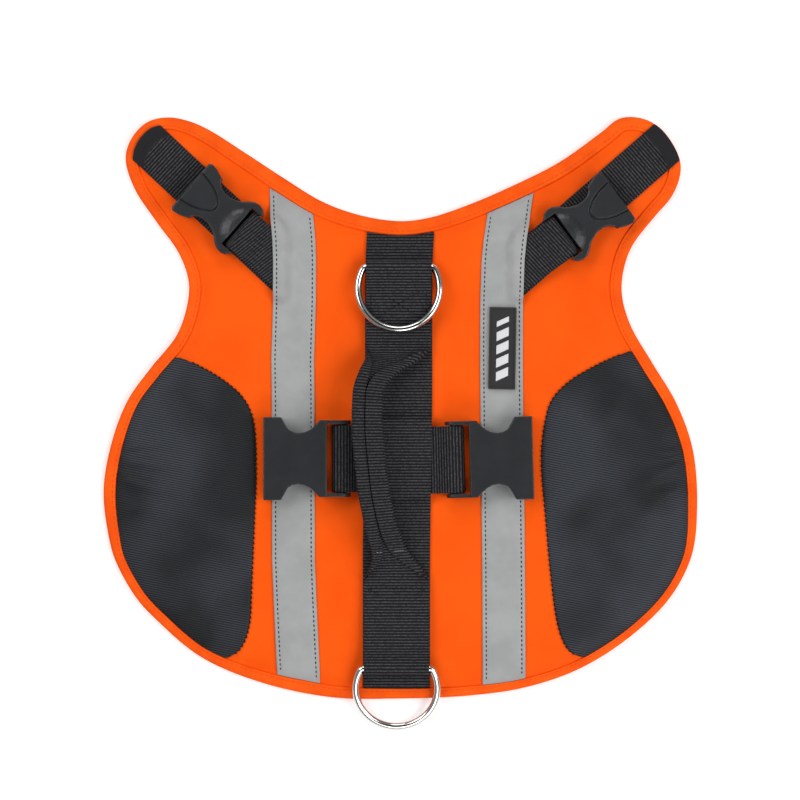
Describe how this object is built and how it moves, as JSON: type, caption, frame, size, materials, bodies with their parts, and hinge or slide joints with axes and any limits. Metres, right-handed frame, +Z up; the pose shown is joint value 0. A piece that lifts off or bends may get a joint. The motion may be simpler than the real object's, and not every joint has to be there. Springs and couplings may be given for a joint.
{
  "type": "dog life jacket",
  "caption": "Dog life jacket laid flat: padded panel with neck arms, bound edge, lift handle, webbing, buckles, rings and reflective tapes.",
  "frame": {"origin": "middle of the bounding box, on the surface that the jacket lies on", "axes": "+Z up from the surface, +Y from the hem to the neck, +X to the right seen from above with the neck away"},
  "size_m": [0.3348, 0.3456, 0.0318],
  "materials": {
    "orange_shell": "plain-woven coated nylon",
    "orange_binding": "folded grosgrain binding",
    "black_rib_fabric": "finely ribbed knit",
    "reflective_tape": "grey reflective tape",
    "black_webbing": "ribbed polyester webbing",
    "black_plastic": "moulded acetal, satin",
    "nickel_plate": "nickel-plated wire",
    "black_rubber": "moulded soft rubber, matt"
  },
  "bodies": {
    "jacket": {"body_panel": "orange_shell", "edge_binding": "orange_binding", "side_panel_left": "black_rib_fabric", "side_panel_right": "black_rib_fabric", "reflective_tape_left": "reflective_tape", "reflective_tape_right": "reflective_tape", "back_webbing": "black_webbing", "handle_webbing": "black_webbing", "belly_webbing_left": "black_webbing", "belly_webbing_right": "black_webbing", "neck_strap_left": "black_webbing", "neck_strap_right": "black_webbing", "neck_loop_left": "black_webbing", "neck_loop_right": "black_webbing", "label_patch": "black_rubber"},
    "front_ring": {"ring_front": "nickel_plate"},
    "rear_ring": {"ring_rear": "nickel_plate"},
    "left_belly_buckle": {"belly_buckle_left": "black_plastic"},
    "right_belly_buckle": {"belly_buckle_right": "black_plastic"},
    "left_neck_buckle": {"neck_buckle_left": "black_plastic"},
    "right_neck_buckle": {"neck_buckle_right": "black_plastic"}
  },
  "joints": [
    {"name": "front_ring_swing", "type": "hinge", "parent": "jacket", "child": "front_ring", "pos_m": [-0.0009, 0.0877, 0.0129], "axis": [-1, 0, 0], "range_deg": [0, 175]},
    {"name": "rear_ring_swing", "type": "hinge", "parent": "jacket", "child": "rear_ring", "pos_m": [-0.0022, -0.1377, 0.0129], "axis": [-1, 0, 0], "range_deg": [0, 190]},
    {"name": "left_belly_buckle_lift", "type": "hinge", "parent": "jacket", "child": "left_belly_buckle", "pos_m": [-0.0324, -0.0198, 0.012], "axis": [0, 1, 0], "range_deg": [0, 70]},
    {"name": "right_belly_buckle_lift", "type": "hinge", "parent": "jacket", "child": "right_belly_buckle", "pos_m": [0.0301, -0.0204, 0.012], "axis": [0.0262, -0.9997, 0], "range_deg": [0, 90]},
    {"name": "left_neck_buckle_lift", "type": "hinge", "parent": "jacket", "child": "left_neck_buckle", "pos_m": [-0.0885, 0.1079, 0.012], "axis": [0.6561, 0.7547, 0], "range_deg": [0, 90]},
    {"name": "right_neck_buckle_lift", "type": "hinge", "parent": "jacket", "child": "right_neck_buckle", "pos_m": [0.091, 0.1048, 0.012], "axis": [0.5878, -0.809, 0], "range_deg": [0, 90]}
  ]
}
